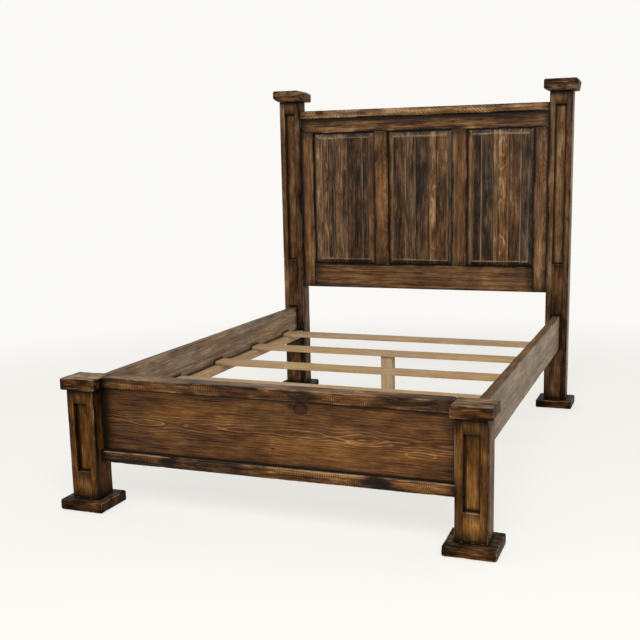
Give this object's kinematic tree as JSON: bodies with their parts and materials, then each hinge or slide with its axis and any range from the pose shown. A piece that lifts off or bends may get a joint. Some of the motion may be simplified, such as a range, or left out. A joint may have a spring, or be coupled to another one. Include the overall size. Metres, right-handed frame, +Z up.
{
  "type": "bed frame",
  "caption": "Stained pine bed frame with square capped posts, a tall raised-panel headboard, a low panelled footboard, plank side rails and loose cross slats.",
  "frame": {"origin": "on the floor, under the middle of the bed", "axes": "+X across the bed to the right seen from the foot, +Y from the foot to the head, +Z up"},
  "size_m": [1.788, 2.38, 1.81],
  "materials": {
    "stained_pine": "satin",
    "plain_pine": "matte",
    "zinc_steel": "satin"
  },
  "bodies": {
    "frame": {"cleat_left": "plain_pine", "cleat_right": "plain_pine", "cleat_screws": "zinc_steel", "foot_cap_left": "stained_pine", "foot_cap_right": "stained_pine", "foot_plinth_left": "stained_pine", "foot_plinth_right": "stained_pine", "foot_post_left": "stained_pine", "foot_post_left_low_block": "stained_pine", "foot_post_left_strips": "stained_pine", "foot_post_left_top_block": "stained_pine", "foot_post_right": "stained_pine", "foot_post_right_low_block": "stained_pine", "foot_post_right_strips": "stained_pine", "foot_post_right_top_block": "stained_pine", "footboard_bottom_rail": "stained_pine", "footboard_panel": "stained_pine", "footboard_top_rail": "stained_pine", "head_cap_left": "stained_pine", "head_cap_right": "stained_pine", "head_plinth_left": "stained_pine", "head_plinth_right": "stained_pine", "head_post_left": "stained_pine", "head_post_left_low_block": "stained_pine", "head_post_left_strips": "stained_pine", "head_post_left_top_block": "stained_pine", "head_post_right": "stained_pine", "head_post_right_low_block": "stained_pine", "head_post_right_strips": "stained_pine", "head_post_right_top_block": "stained_pine", "headboard_bottom_rail": "stained_pine", "headboard_cap_rail": "stained_pine", "headboard_muntin_left": "stained_pine", "headboard_muntin_right": "stained_pine", "headboard_panel_centre": "stained_pine", "headboard_panel_left": "stained_pine", "headboard_panel_right": "stained_pine", "headboard_stile_left": "stained_pine", "headboard_stile_right": "stained_pine", "headboard_top_rail": "stained_pine", "plate_screws": "zinc_steel", "post_dowels": "plain_pine", "post_slot_plates": "zinc_steel", "rail_hook_plates": "zinc_steel", "side_rail_left": "stained_pine", "side_rail_right": "stained_pine"},
    "slat_1_set": {"slat_1": "plain_pine"},
    "slat_2_set": {"slat_2": "plain_pine", "centre_leg_2": "plain_pine", "leg_insert_2": "zinc_steel"},
    "levelling_foot_2_set": {"levelling_foot_2": "zinc_steel"},
    "slat_3_set": {"slat_3": "plain_pine"},
    "slat_4_set": {"slat_4": "plain_pine", "centre_leg_4": "plain_pine", "leg_insert_4": "zinc_steel"},
    "levelling_foot_4_set": {"levelling_foot_4": "zinc_steel"},
    "slat_5_set": {"slat_5": "plain_pine"}
  },
  "joints": [
    {"name": "slat_1_lift", "type": "slide", "parent": "frame", "child": "slat_1_set", "axis": [0, 0, 1], "range_m": [0, 0.2]},
    {"name": "slat_2_lift", "type": "slide", "parent": "frame", "child": "slat_2_set", "axis": [0, 0, 1], "range_m": [0, 0.2]},
    {"name": "levelling_foot_2_screw", "type": "slide", "parent": "slat_2_set", "child": "levelling_foot_2_set", "axis": [0, 0, 1], "range_m": [0, 0.012]},
    {"name": "slat_3_lift", "type": "slide", "parent": "frame", "child": "slat_3_set", "axis": [0, 0, 1], "range_m": [0, 0.2]},
    {"name": "slat_4_lift", "type": "slide", "parent": "frame", "child": "slat_4_set", "axis": [0, 0, 1], "range_m": [0, 0.2]},
    {"name": "levelling_foot_4_screw", "type": "slide", "parent": "slat_4_set", "child": "levelling_foot_4_set", "axis": [0, 0, 1], "range_m": [0, 0.012]},
    {"name": "slat_5_lift", "type": "slide", "parent": "frame", "child": "slat_5_set", "axis": [0, 0, 1], "range_m": [0, 0.2]}
  ]
}
